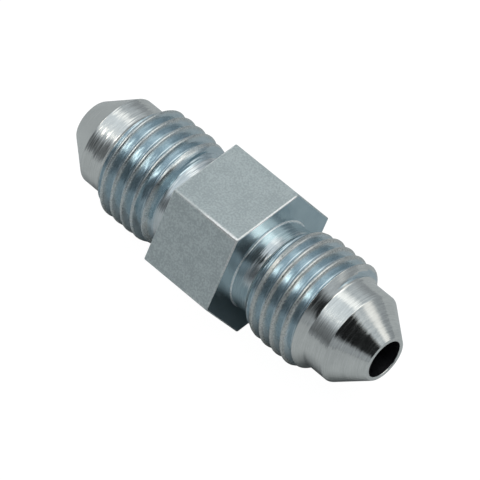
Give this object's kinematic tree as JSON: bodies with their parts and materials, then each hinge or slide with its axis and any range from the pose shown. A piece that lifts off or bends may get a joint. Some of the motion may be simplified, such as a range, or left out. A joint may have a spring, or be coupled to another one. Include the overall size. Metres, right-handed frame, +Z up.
{
  "type": "straight adapter fitting",
  "caption": "Straight male to male hydraulic adapter: a hexagon between threaded ends with conical sealing noses, and a bore right through.",
  "frame": {"origin": "on the bore's axis, at the middle of the hexagon's length", "axes": "+X along the bore, +Z up through the middle of a hexagon flat, so a flat faces down and hexagon corners face +Y and -Y"},
  "size_m": [0.0364, 0.0146, 0.0128],
  "materials": {
    "zinc_plated_steel": "clear zinc plating with a faint blue tint: satin on the hexagon's drawn flats, brighter with fine turning lines on the threads, noses and cones"
  },
  "bodies": {
    "root": {"adapter_body": "zinc_plated_steel"}
  },
  "joints": []
}
